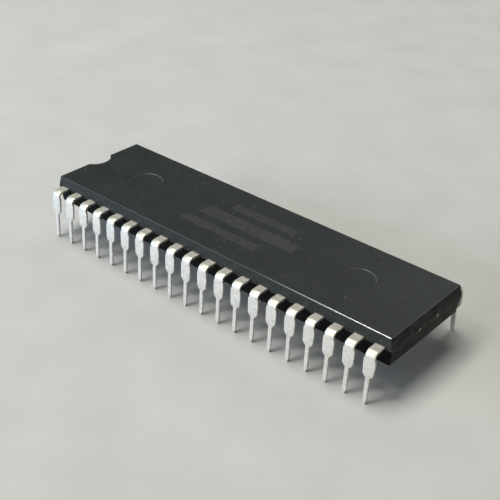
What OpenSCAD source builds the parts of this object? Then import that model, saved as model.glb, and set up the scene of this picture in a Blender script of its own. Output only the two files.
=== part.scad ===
// Dual in-line integrated circuit package, 40 leads, wide plastic body.
// Millimetres, +Z up. The lead tips stand on z = 0, the middle of the body is over the origin,
// and the notched end with lead 1 is at -X. Leads 1 to 20 run along -Y, leads 21 to 40 back along +Y.

/* [Package body] */
// Distance from the last lead's centre line to the end of the body
end_margin = 1.4; // [1.1:0.01:2]
// Width of the body at the parting line
body_w = 13.45; // [13:0.05:14]
// Height of the body above the middle of the lead sheet
body_up = 1.34; // [1.15:0.005:2]
// Depth of the body under the middle of the lead sheet
body_down = 2.135; // [1:0.005:3]
// Draft of the long side walls, in degrees
draft_side = 6.5; // [2:0.5:10]
// Draft of the end walls above the parting line, in degrees
draft_end_top = 12; // [2:0.5:15]
// Draft of the end walls below the parting line, in degrees
draft_end_low = 6; // [2:0.5:10]
// Radius of the four upright corners
corner_r = 0.16; // [0.1:0.01:0.6]
// Radius along the top and bottom edges
edge_r = 0.12; // [0.06:0.01:0.3]
// How far the lower half of the moulding stands in from the upper half
parting_step = 0.04; // [0.02:0.01:0.1]

/* [Notch and marks] */
// Width of the notch where it opens in the end of the body
notch_w = 3.75; // [2:0.05:6]
// Depth of the notch along the body, at the top face
notch_d = 1.15; // [0.6:0.05:1.8]
// Height of the notch's floor above the lead sheet
notch_floor = 0.12; // [0.05:0.01:0.5]
// Diameter of the round ejector marks at the top face
mark_d = 4.15; // [2:0.05:5]
// Depth of the ejector marks
mark_h = 0.08; // [0.03:0.01:0.15]
// Distance of each ejector mark from the middle of the body
mark_x = 16.4; // [10:0.1:18]

/* [Leads] */
// Number of leads in each row
row_count = 20; // [16:2:24]
// Distance between neighbouring leads
pitch = 2.54; // [2.54:0.01:2.6]
// Thickness of the stamped sheet
sheet_t = 0.25; // [0.2:0.01:0.3]
// Height of the middle of the sheet above the lead tips
sheet_z = 6.25; // [5.8:0.05:7]
// Width of a lead where it leaves the body and through its bend
root_w = 1.13; // [0.9:0.01:1.25]
// Width of a lead at its shoulders
shoulder_w = 1.39; // [1.34:0.01:1.7]
// Width of the shoulders at their lower end
blade_w = 1.33; // [1:0.01:1.34]
// Width of the slim lower leg
leg_w = 0.47; // [0.38:0.01:0.6]
// Width of the leg at its cut tip
tip_w = 0.22; // [0.15:0.01:0.35]
// Length of the narrowing tip
tip_l = 0.45; // [0.2:0.05:0.8]
// Outer radius of the bend
bend_r = 0.65; // [0.6:0.05:1.15]
// Flat run of a lead between the wall and the start of its bend
lead_run = 1.05; // [0.3:0.05:1.2]
// Outward lean of the legs, in degrees
splay = 2.5; // [0:0.1:6]
// Height of the step where a lead widens to its shoulders
step_z = 5.62; // [5.2:0.01:5.7]
// Height where the shoulders start to narrow
taper_z = 4.4; // [4:0.01:4.8]
// Height of the neck, where the slim leg starts
neck_z = 3.24; // [3:0.01:3.8]

/* [Inner lead fingers] */
// Depth of each lead's wide root inside the wall
root_in = 0.7; // [0.5:0.05:0.9]
// Width of the fingers
finger_w = 0.22; // [0.16:0.01:0.24]
// Clear distance between the paddle and the finger ends
finger_gap = 0.35; // [0.25:0.05:0.5]
// Fingers that end beside the paddle's short edge, in each quarter
end_fingers = 2; // [2:1:2]
// Straight end of the fingers beside the paddle's short edge
finger_end = 0.4; // [0.2:0.05:0.8]
// Length over which a wide root narrows to its finger
root_taper = 0.25; // [0.2:0.01:0.4]

/* [Chip and paddle] */
// Length of the paddle
paddle_l = 8.6; // [8:0.1:10]
// Width of the paddle
paddle_w = 5.4; // [5.2:0.1:5.6]
// Width of each tie bar
tie_w = 0.4; // [0.25:0.05:0.5]
// Distance of each tie bar from the middle line
tie_y = 1.7; // [1.4:0.05:1.75]
// Length of cut tie bar that stands out of the end wall
tie_stub = 0.05; // [0.01:0.01:0.1]
// Rim of bare paddle around the chip
die_rim = 0.5; // [0.4:0.05:0.8]
// Thickness of the chip
die_t = 0.38; // [0.2:0.01:0.45]
// Thickness of the adhesive under the chip
attach_t = 0.03; // [0.02:0.01:0.05]
// Distance of the wire pads from the chip's edge
pad_inset = 0.15; // [0.1:0.01:0.3]
// Thickness of a bond wire
wire_d = 0.03; // [0.02:0.005:0.05]
// Height of a bond wire's loop above the chip
loop_h = 0.22; // [0.12:0.01:0.3]

/* [Hidden] */
$fn = 44;
compound = [0.19, 0.205, 0.21];
tinned = [0.86, 0.86, 0.84];
copper = [0.78, 0.52, 0.36];
silver_epoxy = [0.6, 0.6, 0.62];
silicon = [0.36, 0.38, 0.44];
gold = [0.9, 0.72, 0.3];

lead_count = 2 * row_count;
quarter = row_count / 2;
body_l = (row_count - 1) * pitch + 2 * end_margin;
sheet_top = sheet_z + sheet_t / 2;
sheet_low = sheet_z - sheet_t / 2;
body_top = sheet_z + body_up;
body_low = sheet_z - body_down;
wall_y = body_w / 2;

// The bend's centre, seen along the row
bend_y = wall_y + lead_run;
bend_z = sheet_top - bend_r;

// Where the wide root ends and where the slim finger starts, as distances from the middle line
root_y = wall_y - root_in;
finger_y = root_y - root_taper;
// The line that the finger ends stand on, along the paddle's long and short edges
end_y = paddle_w / 2 + finger_gap;
end_x = paddle_l / 2 + finger_gap;
long_fingers = quarter - end_fingers;
// Room on each short edge, from the tie bar out to that line
end_span = end_y - tie_y - tie_w / 2;

die_l = paddle_l - 2 * die_rim;
die_w = paddle_w - 2 * die_rim;
attach_top = sheet_top + attach_t;
die_top = attach_top + die_t;

function lead_name(i) = str("lead_", i < 10 ? "0" : "", i);

// Place of lead i along its row, and the side that its row is on
function lead_x(i) = (i <= row_count ? 1 : -1) * ((i - 1) % row_count - (row_count - 1) / 2) * pitch;
function lead_side(i) = i <= row_count ? -1 : 1;
function sign_of(v) = v < 0 ? -1 : 1;
// Number of lead i in its quarter, counted from the middle of the row outward
function from_middle(i) = round(abs(lead_x(i)) / pitch - 0.5);

// A quarter's fingers: the ends of those on the long edge share its length, the rest stand on the short edge
function tip_at(k) = k < long_fingers
    ? [(k + 0.5) * end_x / long_fingers, end_y]
    : [end_x, end_y - (k - long_fingers + 0.4) * end_span / end_fingers];
function turn_rise(k) = min((finger_y - end_y) * (1 - k / long_fingers), (k + 0.5) * pitch - tip_at(k).x);
function turn_at(k) = k < long_fingers ? tip_at(k) + [1, 1] * turn_rise(k) : tip_at(k) + [finger_end, 0];
function finger_path(k) = [[(k + 0.5) * pitch, root_y], [(k + 0.5) * pitch, finger_y], turn_at(k), tip_at(k)];

// A band of even width along a path, with mitred corners
function unit(v) = v / norm(v);
function left_of(v) = [-v.y, v.x];
function seg(p, i) = left_of(unit(p[i + 1] - p[i]));
function mitre(p, i) = i == 0 ? seg(p, 0)
    : i == len(p) - 1 ? seg(p, i - 1)
    : (seg(p, i - 1) + seg(p, i)) / (1 + seg(p, i - 1) * seg(p, i));
function band(p, w) = concat([for (i = [0:len(p) - 1]) p[i] + mitre(p, i) * w / 2],
                             [for (i = [len(p) - 1:-1:0]) p[i] - mitre(p, i) * w / 2]);

// Plan of a flat lead, from its bend inward to its finger end
module lead_plan(i) {
    k = from_middle(i);
    x = lead_x(i);
    s = [sign_of(x), lead_side(i)];
    polygon([for (q = [[root_w / 2, bend_y], [root_w / 2, root_y], [finger_w / 2, finger_y],
                       [-finger_w / 2, finger_y], [-root_w / 2, root_y], [-root_w / 2, bend_y]])
             [x + q.x, s.y * q.y]]);
    polygon([for (q = band(finger_path(k), finger_w)) [s.x * q.x, s.y * q.y]]);
}

// Side view of the flat run, the bend and the leg: distance outward from the middle of the body, and height
module bent_strip() {
    far = 2 * bend_r;
    translate([root_y, sheet_low])
        square([bend_y - root_y, sheet_t]);
    translate([bend_y, bend_z]) {
        intersection() {
            difference() {
                circle(r = bend_r);
                circle(r = bend_r - sheet_t);
            }
            polygon([[0, 0], far * [cos(splay), sin(splay)], far * [1, 1], far * [0, 1]]);
        }
        rotate(splay)
            translate([bend_r - sheet_t, -bend_z - 1])
                square([sheet_t, bend_z + 1]);
    }
}

// Front view of the bend and the leg, as stamped: step, shoulders, taper, leg and cut tip
module lead_front() {
    blade_l = taper_z - neck_z;
    half = [[root_w / 2, sheet_top + 1], [root_w / 2, step_z + 0.09], [shoulder_w / 2 - 0.05, step_z - 0.03],
            [shoulder_w / 2, step_z - 0.2], [shoulder_w / 2, taper_z + 0.15 * blade_l],
            [blade_w / 2, taper_z - 0.15 * blade_l], [blade_w / 2, neck_z + 0.5 * blade_l],
            [blade_w / 2 - 0.06, neck_z + 0.35 * blade_l], [leg_w / 2 + 0.24, neck_z + 0.18 * blade_l],
            [leg_w / 2, neck_z], [leg_w / 2, tip_l], [tip_w / 2, 0]];
    polygon(concat(half, [for (i = [len(half) - 1:-1:0]) [-half[i].x, half[i].y]]));
}

module lead(i) {
    color(tinned) {
        translate([0, 0, sheet_low])
            linear_extrude(sheet_t)
                lead_plan(i);
        translate([lead_x(i), 0, 0])
            rotate([0, 0, lead_side(i) < 0 ? 0 : 180])
                intersection() {
                    rotate([90, 0, -90])
                        linear_extrude(2 * shoulder_w, center = true)
                            bent_strip();
                    rotate([90, 0, 0])
                        linear_extrude(body_w)
                            lead_front();
                }
    }
}

// Paddle and its four tie bars, one flat stamping
module paddle_plan() {
    square([paddle_l, paddle_w], center = true);
    for (y = [-tie_y, tie_y])
        translate([0, y])
            square([body_l + 2 * tie_stub, tie_w], center = true);
}

module die_paddle() {
    color(copper)
        translate([0, 0, sheet_low])
            linear_extrude(sheet_t)
                paddle_plan();
}

module die_attach() {
    color(silver_epoxy)
        translate([0, 0, sheet_top + attach_t / 2])
            cube([die_l, die_w, attach_t], center = true);
}

module silicon_die() {
    color(silicon)
        translate([0, 0, attach_top + die_t / 2])
            cube([die_l, die_w, die_t], center = true);
}

// Ends of a bond wire in plan: on the chip and on the finger of lead number k of the quarter
function pad_at(k) = k < long_fingers
    ? [tip_at(k).x * (die_l / 2 - 2 * pad_inset) / end_x, die_w / 2 - pad_inset]
    : [die_l / 2 - pad_inset, (die_w / 2 - pad_inset) * (1 - (k - long_fingers + 1) / (end_fingers + 3))];
function stitch_at(k) = tip_at(k) + 0.2 * unit(turn_at(k) - tip_at(k));

// Side view of a wire: up off the chip, over, and down to the finger
function wire_path(run) = [[0, die_top], [0, die_top + loop_h], [run * 0.35, die_top + loop_h * 0.9],
                           [run, sheet_top - wire_d]];

module bond_wire(k, sx, sy) {
    a = [pad_at(k).x * sx, pad_at(k).y * sy];
    b = [stitch_at(k).x * sx, stitch_at(k).y * sy];
    run = norm(b - a);
    translate([a.x, a.y, 0])
        rotate([90, 0, atan2(b.y - a.y, b.x - a.x)])
            linear_extrude(wire_d, center = true)
                difference() {
                    polygon(band(wire_path(run), wire_d));
                    translate([0, sheet_low])
                        square([2 * run, sheet_t]);
                }
}

module bond_wires() {
    color(gold)
        for (k = [0:quarter - 1], sx = [-1, 1], sy = [-1, 1])
            bond_wire(k, sx, sy);
}

// Plan of the body at a height, drawn in from the parting line by the draft and the edge radius
module body_plan(dx, dy, r) {
    l = body_l - 2 * dx;
    w = body_w - 2 * dy;
    for (x = [-1, 1], y = [-1, 1])
        translate([x * (l / 2 - r), y * (w / 2 - r)])
            circle(r = r, $fn = 20);
}

// One half of the moulding, as a stack of plans: h is its height from the middle of the sheet,
// and its straight band starts at the height low and stands in by step
module body_half(h, draft_end, low, step) {
    land = 0.01;
    reach = h - sheet_t / 2;
    hull() {
        translate([0, 0, low])
            linear_extrude(sheet_t / 2 - low + land)
                body_plan(step, step, corner_r);
        for (a = [0, 35, 65, 90]) {
            drop = edge_r * (1 - sin(a));
            inset = edge_r * (1 - cos(a));
            translate([0, 0, h - drop - land])
                linear_extrude(land)
                    body_plan(step + inset + (reach - drop) * tan(draft_end),
                              step + inset + (reach - drop) * tan(draft_side), corner_r - inset * 0.5);
        }
    }
}

module package_body() {
    notch_r = (notch_w * notch_w / 4 + notch_d * notch_d) / (2 * notch_d);
    top_end = body_l / 2 - (body_up - sheet_t / 2) * tan(draft_end_top);
    color(compound)
        difference() {
            union() {
                // the parting line runs along the lower face of the sheet
                translate([0, 0, sheet_z])
                    body_half(body_up, draft_end_top, -sheet_t / 2, 0);
                translate([0, 0, sheet_z]) mirror([0, 0, 1])
                    body_half(body_down, draft_end_low, sheet_t / 2 - 0.03, parting_step);
            }
            // notch down to a floor just above the lead sheet
            translate([-top_end + notch_d - notch_r, 0, sheet_top + notch_floor])
                cylinder(r = notch_r, h = body_up + 1);
            // ejector marks, with a sloping rim
            for (x = [-mark_x, mark_x])
                translate([x, 0, body_top - mark_h])
                    cylinder(d1 = mark_d - 2 * mark_h, d2 = mark_d + 2 * mark_h, h = 2 * mark_h);
            // room for what the compound holds
            translate([0, 0, sheet_low])
                linear_extrude(sheet_t) {
                    for (i = [1:lead_count]) lead_plan(i);
                    paddle_plan();
                }
            die_attach();
            silicon_die();
            bond_wires();
        }
}

package_body();
for (i = [1:lead_count])
    lead(i);
die_paddle();
die_attach();
silicon_die();
bond_wires();
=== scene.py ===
import math

import bpy
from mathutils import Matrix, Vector

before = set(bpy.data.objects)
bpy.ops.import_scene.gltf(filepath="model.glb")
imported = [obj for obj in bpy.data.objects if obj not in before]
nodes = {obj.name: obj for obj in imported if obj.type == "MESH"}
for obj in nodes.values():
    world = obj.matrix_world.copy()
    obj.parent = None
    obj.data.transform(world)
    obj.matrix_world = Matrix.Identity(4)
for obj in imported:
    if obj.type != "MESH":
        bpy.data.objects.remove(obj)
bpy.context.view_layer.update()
mm = 0.001
print("frame loaded:", len(nodes), "nodes")


# camera, from the picture's vanishing lines and the known size of the package
cameraView = {
    "place": (0.063204, -0.073074, 0.063886),
    "turn": (58.3042, -1.2864, 41.1515),  # degrees
    "lens": 68.6944,
    "sensor": 36.0,
    "clip": (0.005, 20),
}


def makeCamera(view):
    data = bpy.data.cameras.new("chipCamera")
    data.lens = view["lens"]
    data.sensor_width = view["sensor"]
    data.clip_start, data.clip_end = view["clip"]
    camera = bpy.data.objects.new("chipCamera", data)
    camera.location = view["place"]
    camera.rotation_euler = [math.radians(a) for a in view["turn"]]
    bpy.context.scene.collection.objects.link(camera)
    bpy.context.scene.camera = camera


makeCamera(cameraView)
print("camera set")


# soft studio light: a large lamp overhead, a small one high in front, a wide low one in front,
# a low bluish one by the notched end, and a weak one behind. A lamp's share is how bright it alone
# makes white paper that faces it
lampRig = {
    "overhead": {"from": (-0.22, 0.0, 0.97), "distance": 0.6, "size": (0.30, 0.30), "share": 0.74,
                 "colour": (1.0, 0.98, 0.90)},
    "window": {"from": (-0.27, -0.46, 0.85), "distance": 0.45, "size": (0.09, 0.09), "share": 0.22,
               "colour": (1.0, 0.97, 0.86)},
    "front": {"from": (-0.40, -0.86, 0.30), "distance": 0.8, "size": (0.48, 0.24), "share": 0.54,
              "colour": (1.0, 0.955, 0.89)},
    "sky": {"from": (-0.80, -0.56, 0.22), "distance": 0.45, "size": (0.20, 0.14), "share": 0.46,
            "colour": (0.28, 0.60, 1.0)},
    "behind": {"from": (-0.10, 0.80, 0.60), "distance": 0.6, "size": (0.20, 0.20), "share": 0.16,
               "colour": (0.95, 1.0, 0.97)},
}
worldLight = {
    "brightSide": (-0.6, -0.75, 0.2),
    "spread": (-0.6, 1.0),
    "dark": (0.025, 0.025, 0.022),
    "bright": (0.07, 0.072, 0.075),
}


def makeLamps(rig):
    for name, lamp in rig.items():
        data = bpy.data.lights.new(name, "AREA")
        data.shape = "RECTANGLE"
        data.size, data.size_y = lamp["size"]
        data.energy = lamp["share"] * math.pi ** 2 * lamp["distance"] ** 2
        data.color = lamp["colour"]
        obj = bpy.data.objects.new(name, data)
        direction = Vector(lamp["from"]).normalized()
        obj.location = direction * lamp["distance"]
        obj.rotation_euler = direction.to_track_quat("Z", "Y").to_euler()
        bpy.context.scene.collection.objects.link(obj)


def makeWorld(light):
    world = bpy.data.worlds.new("softRoom")
    bpy.context.scene.world = world
    world.use_nodes = True
    tree = world.node_tree
    tree.nodes.clear()
    direction = tree.nodes.new("ShaderNodeTexCoord")
    side = tree.nodes.new("ShaderNodeVectorMath")
    side.operation = "DOT_PRODUCT"
    side.inputs[1].default_value = Vector(light["brightSide"]).normalized()
    spread = tree.nodes.new("ShaderNodeMapRange")
    spread.interpolation_type = "SMOOTHSTEP"
    spread.inputs["From Min"].default_value, spread.inputs["From Max"].default_value = light["spread"]
    tint = tree.nodes.new("ShaderNodeMix")
    tint.data_type = "RGBA"
    tint.inputs["A"].default_value = (*light["dark"], 1)
    tint.inputs["B"].default_value = (*light["bright"], 1)
    background = tree.nodes.new("ShaderNodeBackground")
    out = tree.nodes.new("ShaderNodeOutputWorld")
    tree.links.new(direction.outputs["Generated"], side.inputs[0])
    tree.links.new(side.outputs["Value"], spread.inputs["Value"])
    tree.links.new(spread.outputs["Result"], tint.inputs["Factor"])
    tree.links.new(tint.outputs["Result"], background.inputs["Color"])
    tree.links.new(background.outputs["Background"], out.inputs["Surface"])


makeLamps(lampRig)
makeWorld(worldLight)
bpy.context.scene.view_settings.view_transform = "Standard"
print("lamps and world set")


# small helpers for the node trees. In the dictionaries below, a noise has its patch size in metres,
# and "cut" gives the noise values at which a patch starts and is full
class Finish:
    def __init__(self, name):
        self.material = bpy.data.materials.new(name)
        self.material.use_nodes = True
        self.tree = self.material.node_tree
        self.shader = self.tree.nodes["Principled BSDF"]
        self.place = self.add("ShaderNodeTexCoord").outputs["Object"]

    def add(self, kind, **settings):
        node = self.tree.nodes.new(kind)
        for key, value in settings.items():
            setattr(node, key, value)
        return node

    def link(self, source, target):
        self.tree.links.new(source, target)

    def put(self, target, value):
        if isinstance(value, bpy.types.NodeSocket):
            self.link(value, target)
        else:
            target.default_value = value

    def noise(self, look):
        shift = look.get("shift", 0.0)
        mapping = self.add("ShaderNodeMapping")
        mapping.inputs["Scale"].default_value = look.get("stretch", (1, 1, 1))
        mapping.inputs["Location"].default_value = (shift, shift, shift)
        noise = self.add("ShaderNodeTexNoise")
        noise.inputs["Scale"].default_value = 1 / look["size"]
        noise.inputs["Detail"].default_value = look["detail"]
        noise.inputs["Roughness"].default_value = look["rough"]
        self.link(self.place, mapping.inputs["Vector"])
        self.link(mapping.outputs["Vector"], noise.inputs["Vector"])
        return noise.outputs["Fac"]

    def span(self, value, low, high, toLow=0.0, toHigh=1.0, smooth=False):
        node = self.add("ShaderNodeMapRange", interpolation_type="SMOOTHSTEP" if smooth else "LINEAR")
        for key, number in (("From Min", low), ("From Max", high), ("To Min", toLow), ("To Max", toHigh)):
            node.inputs[key].default_value = number
        self.link(value, node.inputs["Value"])
        return node.outputs["Result"]

    def patches(self, look, toLow=0.0, toHigh=1.0):
        return self.span(self.noise(look), *look["cut"], toLow, toHigh)

    def sums(self, operation, a, b=0.0):
        node = self.add("ShaderNodeMath", operation=operation)
        self.put(node.inputs[0], a)
        self.put(node.inputs[1], b)
        return node.outputs["Value"]

    def times(self, a, b):
        return self.sums("MULTIPLY", a, b)

    def most(self, a, b):
        return self.sums("MAXIMUM", a, b)

    def offFrom(self, value, middle):
        return self.sums("ABSOLUTE", self.sums("SUBTRACT", value, middle))

    def blend(self, factor, a, b):
        node = self.add("ShaderNodeMix", data_type="RGBA")
        self.put(node.inputs["Factor"], factor)
        for socket, value in ((node.inputs["A"], a), (node.inputs["B"], b)):
            self.put(socket, value if isinstance(value, bpy.types.NodeSocket) else (*value, 1))
        return node.outputs["Result"]

    def cover(self, colour, mask, look):
        # lays look's colour over what is there, as far as its share says
        return self.blend(self.times(mask, look["share"]), colour, look["colour"])

    def axes(self, source):
        node = self.add("ShaderNodeSeparateXYZ")
        self.link(source, node.inputs["Vector"])
        return node.outputs

    def facing(self):
        return self.axes(self.add("ShaderNodeNewGeometry").outputs["Normal"])

    def bump(self, height, look, under=None):
        node = self.add("ShaderNodeBump")
        node.inputs["Strength"].default_value = look["strength"]
        node.inputs["Distance"].default_value = look["depth"]
        self.link(height, node.inputs["Height"])
        if under is not None:
            self.link(under, node.inputs["Normal"])
        return node.outputs["Normal"]

    def set(self, **sockets):
        for key, value in sockets.items():
            self.put(self.shader.inputs[key.replace("_", " ")], value)


# moulded compound of the package body
compoundLook = {
    "colour": (0.0118, 0.0154, 0.0156),
    "paler": (0.0152, 0.0190, 0.0188),
    "clouds": {"size": 6 * mm, "detail": 3, "rough": 0.5, "cut": (0.35, 0.68)},
    "filler": {"size": 0.16 * mm, "detail": 2, "rough": 0.7, "shift": 0.37, "cut": (0.63, 0.72),
               "share": 0.35, "colour": (0.034, 0.036, 0.035)},
    "dust": {"size": 0.32 * mm, "detail": 1, "rough": 0.5, "shift": 0.62, "cut": (0.73, 0.78),
             "share": 0.7, "colour": (0.16, 0.16, 0.15)},
    "sheen": 0.34,
    "lowestSheen": 0.07,
    "roughness": (0.50, 0.64),
    "gloss": {"size": 1.4 * mm, "detail": 4, "rough": 0.6, "shift": 0.71, "cut": (0.3, 0.7)},
    "fineBump": {"size": 0.11 * mm, "detail": 2, "rough": 0.6, "depth": 0.012 * mm, "strength": 0.5},
    "wideBump": {"size": 0.5 * mm, "detail": 3, "rough": 0.6, "shift": 0.2, "depth": 0.012 * mm,
                 "strength": 0.4},
    "partingHeight": 6.155 * mm,
    "wallFacing": (0.6, 0.3),  # how far up a wall faces, from none of it to all of it
    "mottle": {"size": 0.45 * mm, "detail": 4, "rough": 0.7, "shift": 0.83, "cut": (0.5, 0.72),
               "share": 0.6, "colour": (0.046, 0.048, 0.036)},
    "bars": {
        "places": [  # middle x and y, length and height, in mm
            (0.9, 2.75, 9.6, 1.35),
            (0.9, 0.0, 14.0, 1.9),
            (-1.3, -2.9, 11.6, 1.35),
        ],
        "blur": 0.04,  # mm
        "topFacing": (0.9, 0.98),
        "wear": {"size": 0.22 * mm, "detail": 3, "rough": 0.7, "shift": 0.11, "cut": (0.36, 0.56)},
        "share": 0.5,
        "colour": (0.06, 0.061, 0.06),
    },
    # painted highlights: pale, smoother, partly metallic rims of the round marks and long top edges
    "paintedEdgeHighlight": {
        "risingFacing": (0.58, 0.72),
        "flatFacing": (0.995, 0.93),
        "longFacing": (0.25, 0.35),
        "wear": {"size": 1.6 * mm, "detail": 2, "rough": 0.5, "shift": 0.53, "cut": (0.3, 0.5)},
        "leastWear": 0.8,
        "markReach": (6.2 * mm, 6.3 * mm),  # the marks lie this far across, the long edges past it
        "highlightFrom": (5 * mm, 21 * mm),
        "leastHighlight": 0.06,
        "rimHighlightColour": (0.10, 0.103, 0.103),
        "markMetal": 0.2,
        "longHighlightColour": (0.46, 0.47, 0.48),
        "roughness": 0.34,
    },
    # dark stains on the end faces, plus painted shade towards their far side
    "stainAndShade": {
        "size": 1.3 * mm, "detail": 4, "rough": 0.65, "shift": 0.27, "cut": (0.46, 0.60),
        "endFacing": (0.5, 0.2),
        "farEnd": 6 * mm,
        "farShadeShare": 0.75,
        "dulling": 0.6,
        "share": 0.8,
        "colour": (0.008, 0.008, 0.005),
    },
    # painted shade on the lower half, strongest on the long walls below the leads
    "lower": {
        "blur": 0.06 * mm,
        "longFacing": (0.1, 0.5),
        "onEnds": 0.5,
        "share": 0.85,
        "colour": (0.004, 0.0045, 0.004),
    },
    # the pale parting line is partly mould flash and partly a painted highlight where the step catches
    # light
    "flashAndHighlight": {  # thin paler line where the two halves of the mould met
        "size": 1.1 * mm, "detail": 3, "rough": 0.6, "shift": 0.15, "cut": (0.42, 0.6),
        "reach": (0.10 * mm, 0.05 * mm),
        "colour": (0.060, 0.062, 0.048),
    },
}


def barMask(f, look, where, up):
    # plain pale bars on the top, their print partly worn off
    blur = look["blur"]
    bars = None
    for x, y, length, height in look["places"]:
        across = f.span(f.offFrom(where["X"], x * mm), (length / 2 + blur) * mm, (length / 2 - blur) * mm)
        along = f.span(f.offFrom(where["Y"], y * mm), (height / 2 + blur) * mm, (height / 2 - blur) * mm)
        bar = f.times(across, along)
        bars = bar if bars is None else f.most(bars, bar)
    return f.times(f.times(bars, f.span(up, *look["topFacing"])), f.patches(look["wear"]))


def paintedHighlightMasks(f, look, where, up, sideways):
    # painted highlights on the round marks' rims and on the long top edges, stronger towards the end
    # without the notch and broken up by wear patches
    edge = f.times(f.span(up, *look["risingFacing"], smooth=True),
                   f.span(up, *look["flatFacing"], smooth=True))
    edge = f.times(edge, f.patches(look["wear"], look["leastWear"], 1.0))
    outer = f.span(f.sums("ABSOLUTE", where["Y"]), *look["markReach"])
    highlightRamp = f.span(where["X"], *look["highlightFrom"], look["leastHighlight"], 1.0, smooth=True)
    longEdgeHighlight = f.times(f.times(edge, f.span(sideways, *look["longFacing"])), f.times(outer, highlightRamp))
    rimHighlight = f.times(edge, f.sums("SUBTRACT", 1.0, outer))
    return rimHighlight, longEdgeHighlight


def endStainAndShadeMask(f, look, where, onWall, sideways):
    # dark stain patches on the two end faces, with painted shade that darkens them towards their far side
    stainAndShade = f.most(f.patches(look), f.span(where["Y"], 0, look["farEnd"], 0, look["farShadeShare"]))
    return f.times(f.times(onWall, f.span(sideways, *look["endFacing"])), stainAndShade)


def lowerMask(f, look, where, partingHeight, sideways):
    # painted shade: the lower half of the moulding is darkened and made duller, most on its long walls
    lower = f.span(where["Z"], partingHeight, partingHeight - look["blur"])
    return f.times(lower, f.span(sideways, *look["longFacing"], look["onEnds"], 1.0))


def makeCompound(look):
    f = Finish("mouldCompound")
    where = f.axes(f.place)
    facing = f.facing()
    up, sideways = facing["Z"], f.sums("ABSOLUTE", facing["Y"])
    onWall = f.span(up, *look["wallFacing"])
    rimHighlight, longEdgeHighlight = paintedHighlightMasks(f, look["paintedEdgeHighlight"], where, up, sideways)
    stainAndShade = endStainAndShadeMask(f, look["stainAndShade"], where, onWall, sideways)
    lower = lowerMask(f, look["lower"], where, look["partingHeight"], sideways)
    onLine = f.span(f.offFrom(where["Z"], look["partingHeight"]), *look["flashAndHighlight"]["reach"])

    colour = f.blend(f.patches(look["clouds"]), look["colour"], look["paler"])
    colour = f.cover(colour, f.patches(look["filler"]), look["filler"])
    colour = f.cover(colour, f.patches(look["dust"]), look["dust"])
    colour = f.cover(colour, barMask(f, look["bars"], where, up), look["bars"])
    colour = f.cover(colour, f.times(onWall, f.patches(look["mottle"])), look["mottle"])
    # stains, and painted shade on the far side of the end faces
    colour = f.cover(colour, stainAndShade, look["stainAndShade"])
    # painted shade on the lower half of the moulding
    colour = f.cover(colour, lower, look["lower"])
    # pale parting line: mould flash with a painted highlight
    colour = f.blend(f.times(onLine, f.patches(look["flashAndHighlight"])), colour, look["flashAndHighlight"]["colour"])
    # painted highlights on the marks' rims and along the long top edges
    colour = f.blend(rimHighlight, colour, look["paintedEdgeHighlight"]["rimHighlightColour"])
    colour = f.blend(longEdgeHighlight, colour, look["paintedEdgeHighlight"]["longHighlightColour"])

    smooth = f.most(rimHighlight, longEdgeHighlight)
    rough = f.times(f.patches(look["gloss"], *look["roughness"]), f.sums("SUBTRACT", 1.0, smooth))
    rough = f.sums("ADD", rough, f.times(smooth, look["paintedEdgeHighlight"]["roughness"]))
    dull = f.most(lower, f.times(stainAndShade, look["stainAndShade"]["dulling"]))
    normal = f.bump(f.noise(look["fineBump"]), look["fineBump"])
    normal = f.bump(f.noise(look["wideBump"]), look["wideBump"], normal)
    f.set(Base_Color=colour, Roughness=rough,
          Metallic=f.most(longEdgeHighlight, f.times(rimHighlight, look["paintedEdgeHighlight"]["markMetal"])),
          Specular_IOR_Level=f.span(dull, 0, 1, look["sheen"], look["lowestSheen"]), Normal=normal)
    return f.material


# dull tin plating on the leads
tinLook = {
    "colour": (0.93, 0.925, 0.90),
    "yellower": (0.86, 0.81, 0.73),
    "yellowFrom": (-6 * mm, 26 * mm),  # along the package, towards the end without the notch
    "yellowShare": 0.6,
    "patch": {"size": 0.45 * mm, "detail": 4, "rough": 0.65, "cut": (0.38, 0.66),
              "colour": (0.73, 0.72, 0.69)},
    "pits": {"size": 0.12 * mm, "detail": 3, "rough": 0.7, "shift": 0.3, "cut": (0.55, 0.75),
             "share": 0.55, "colour": (0.56, 0.545, 0.52)},
    # painted reflection: the bends are tinted a warm cream and the level flat run a darker khaki
    "bend": {"facing": (0.1, 0.4), "notFlat": (0.98, 0.85), "share": 0.9, "colour": (0.66, 0.635, 0.55)},
    "flat": {"facing": (0.75, 0.98), "share": 0.7, "colour": (0.53, 0.51, 0.445)},
    "lines": {"size": 0.05 * mm, "detail": 2, "rough": 0.5, "shift": 0.9, "stretch": (0.08, 1, 1),
              "cut": (0.4, 0.6), "smoother": -0.06, "depth": 0.008 * mm, "strength": 0.6},
    "grit": {"size": 0.14 * mm, "detail": 4, "rough": 0.7, "shift": 0.5, "depth": 0.01 * mm,
             "strength": 0.7},
    "roughness": (0.50, 0.62),
    "metal": 0.87,
}


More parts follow.
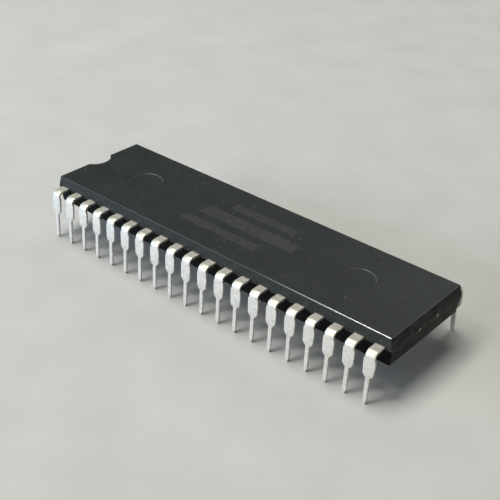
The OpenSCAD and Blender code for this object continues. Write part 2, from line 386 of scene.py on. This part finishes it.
def makeTin(look):
    f = Finish("dullTin")
    up = f.facing()["Z"]
    patch = f.patches(look["patch"])
    flat = f.span(up, *look["flat"]["facing"], smooth=True)
    bend = f.times(f.span(up, *look["bend"]["facing"]), f.span(up, *look["bend"]["notFlat"]))
    # the leads turn yellower along the package, towards the end without the notch
    yellowRamp = f.span(f.axes(f.place)["X"], *look["yellowFrom"], 0.0, look["yellowShare"])
    colour = f.blend(yellowRamp, look["colour"], look["yellower"])
    colour = f.blend(patch, colour, look["patch"]["colour"])
    colour = f.cover(colour, f.patches(look["pits"]), look["pits"])
    # painted reflection tones on the bends and the flat run
    colour = f.cover(colour, bend, look["bend"])
    colour = f.cover(colour, flat, look["flat"])
    # fine drawn lines on the flat run
    lines = f.noise(look["lines"])
    smoother = f.times(f.span(lines, *look["lines"]["cut"]), f.times(flat, look["lines"]["smoother"]))
    rough = f.sums("ADD", f.span(patch, 0, 1, *look["roughness"]), smoother)
    normal = f.bump(f.noise(look["grit"]), look["grit"])
    normal = f.bump(f.times(lines, flat), look["lines"], normal)
    f.set(Base_Color=colour, Metallic=look["metal"], Roughness=rough, Normal=normal)
    return f.material


# finishes of what the compound holds
innerLook = {
    "paddleMetal": {"colour": (0.40, 0.37, 0.32), "dark": (0.22, 0.20, 0.17), "size": 0.15 * mm,
                    "roughness": (0.38, 0.55), "metal": 0.9},
    "silverAdhesive": {"colour": (0.48, 0.48, 0.50), "dark": (0.30, 0.30, 0.32), "size": 0.05 * mm,
                       "roughness": (0.45, 0.7), "metal": 0.4},
    "polishedSilicon": {"colour": (0.20, 0.22, 0.27), "dark": (0.15, 0.16, 0.20), "size": 1.5 * mm,
                        "roughness": (0.08, 0.16), "metal": 0.7},
    "goldWire": {"colour": (0.95, 0.72, 0.30), "dark": (0.85, 0.60, 0.22), "size": 0.04 * mm,
                 "roughness": (0.18, 0.3), "metal": 1.0},
}


def makeInner(name, look):
    size = look["size"]
    f = Finish(name)
    patch = f.patches({"size": size, "detail": 4, "rough": 0.6, "cut": (0.35, 0.65)})
    grit = {"size": size * 0.4, "detail": 3, "rough": 0.6, "shift": 0.4, "depth": size * 0.03,
            "strength": 0.5}
    f.set(Base_Color=f.blend(patch, look["colour"], look["dark"]), Metallic=look["metal"],
          Roughness=f.span(patch, 0, 1, *look["roughness"]), Normal=f.bump(f.noise(grit), grit))
    return f.material


innerFinishes = {name: makeInner(name, look) for name, look in innerLook.items()}
nodeFinish = {
    "package_body": makeCompound(compoundLook),
    "die_paddle": innerFinishes["paddleMetal"],
    "die_attach": innerFinishes["silverAdhesive"],
    "silicon_die": innerFinishes["polishedSilicon"],
    "bond_wires": innerFinishes["goldWire"],
}
tin = makeTin(tinLook)
for name, node in nodes.items():
    for slot in node.material_slots:
        slot.material = nodeFinish.get(name, tin)  # everything else is a lead
print("finishes made:", len(nodeFinish) + 1)


# edges: the stamped leads get a small round, the moulding keeps its own and is only shaded smooth
edgeLook = {
    "weldDistance": 0.0005 * mm,
    "leadRound": 0.028 * mm,
    "roundSteps": 2,
    "roundAngle": 30,  # degrees
    "hardAngle": 42,  # degrees
}


def addWeld(node, look):
    weld = node.modifiers.new("weld", "WELD")
    weld.merge_threshold = look["weldDistance"]


def evenShade(node):
    shade = node.modifiers.new("evenShade", "WEIGHTED_NORMAL")
    shade.keep_sharp = False


def roundLead(node, look):
    addWeld(node, look)
    bevel = node.modifiers.new("stampedEdge", "BEVEL")
    bevel.width = look["leadRound"]
    bevel.segments = look["roundSteps"]
    bevel.limit_method = "ANGLE"
    bevel.angle_limit = math.radians(look["roundAngle"])
    evenShade(node)


def shadeBody(node, look):
    addWeld(node, look)
    split = node.modifiers.new("hardEdges", "EDGE_SPLIT")
    split.split_angle = math.radians(look["hardAngle"])
    split.use_edge_sharp = False
    evenShade(node)


for name, node in nodes.items():
    if name.startswith("lead_"):
        roundLead(node, edgeLook)
shadeBody(nodes["package_body"], edgeLook)
print("edges rounded")


# plain pale floor
floorLook = {
    "size": 6.0,
    "colour": (0.48, 0.48, 0.47),
    "paler": (0.52, 0.52, 0.51),
    "clouds": {"size": 9 * mm, "detail": 3, "rough": 0.5, "cut": (0.3, 0.7)},
    "roughness": 0.9,
    "sheen": 0.2,
}


def makeFloor(look):
    half = look["size"] / 2
    corners = [(-half, -half, 0), (half, -half, 0), (half, half, 0), (-half, half, 0)]
    mesh = bpy.data.meshes.new("floor")
    mesh.from_pydata(corners, [], [(0, 1, 2, 3)])
    floor = bpy.data.objects.new("floor", mesh)
    bpy.context.scene.collection.objects.link(floor)
    f = Finish("paleFloor")
    f.set(Base_Color=f.blend(f.patches(look["clouds"]), look["colour"], look["paler"]),
          Roughness=look["roughness"], Specular_IOR_Level=look["sheen"])
    mesh.materials.append(f.material)


makeFloor(floorLook)
print("floor laid")
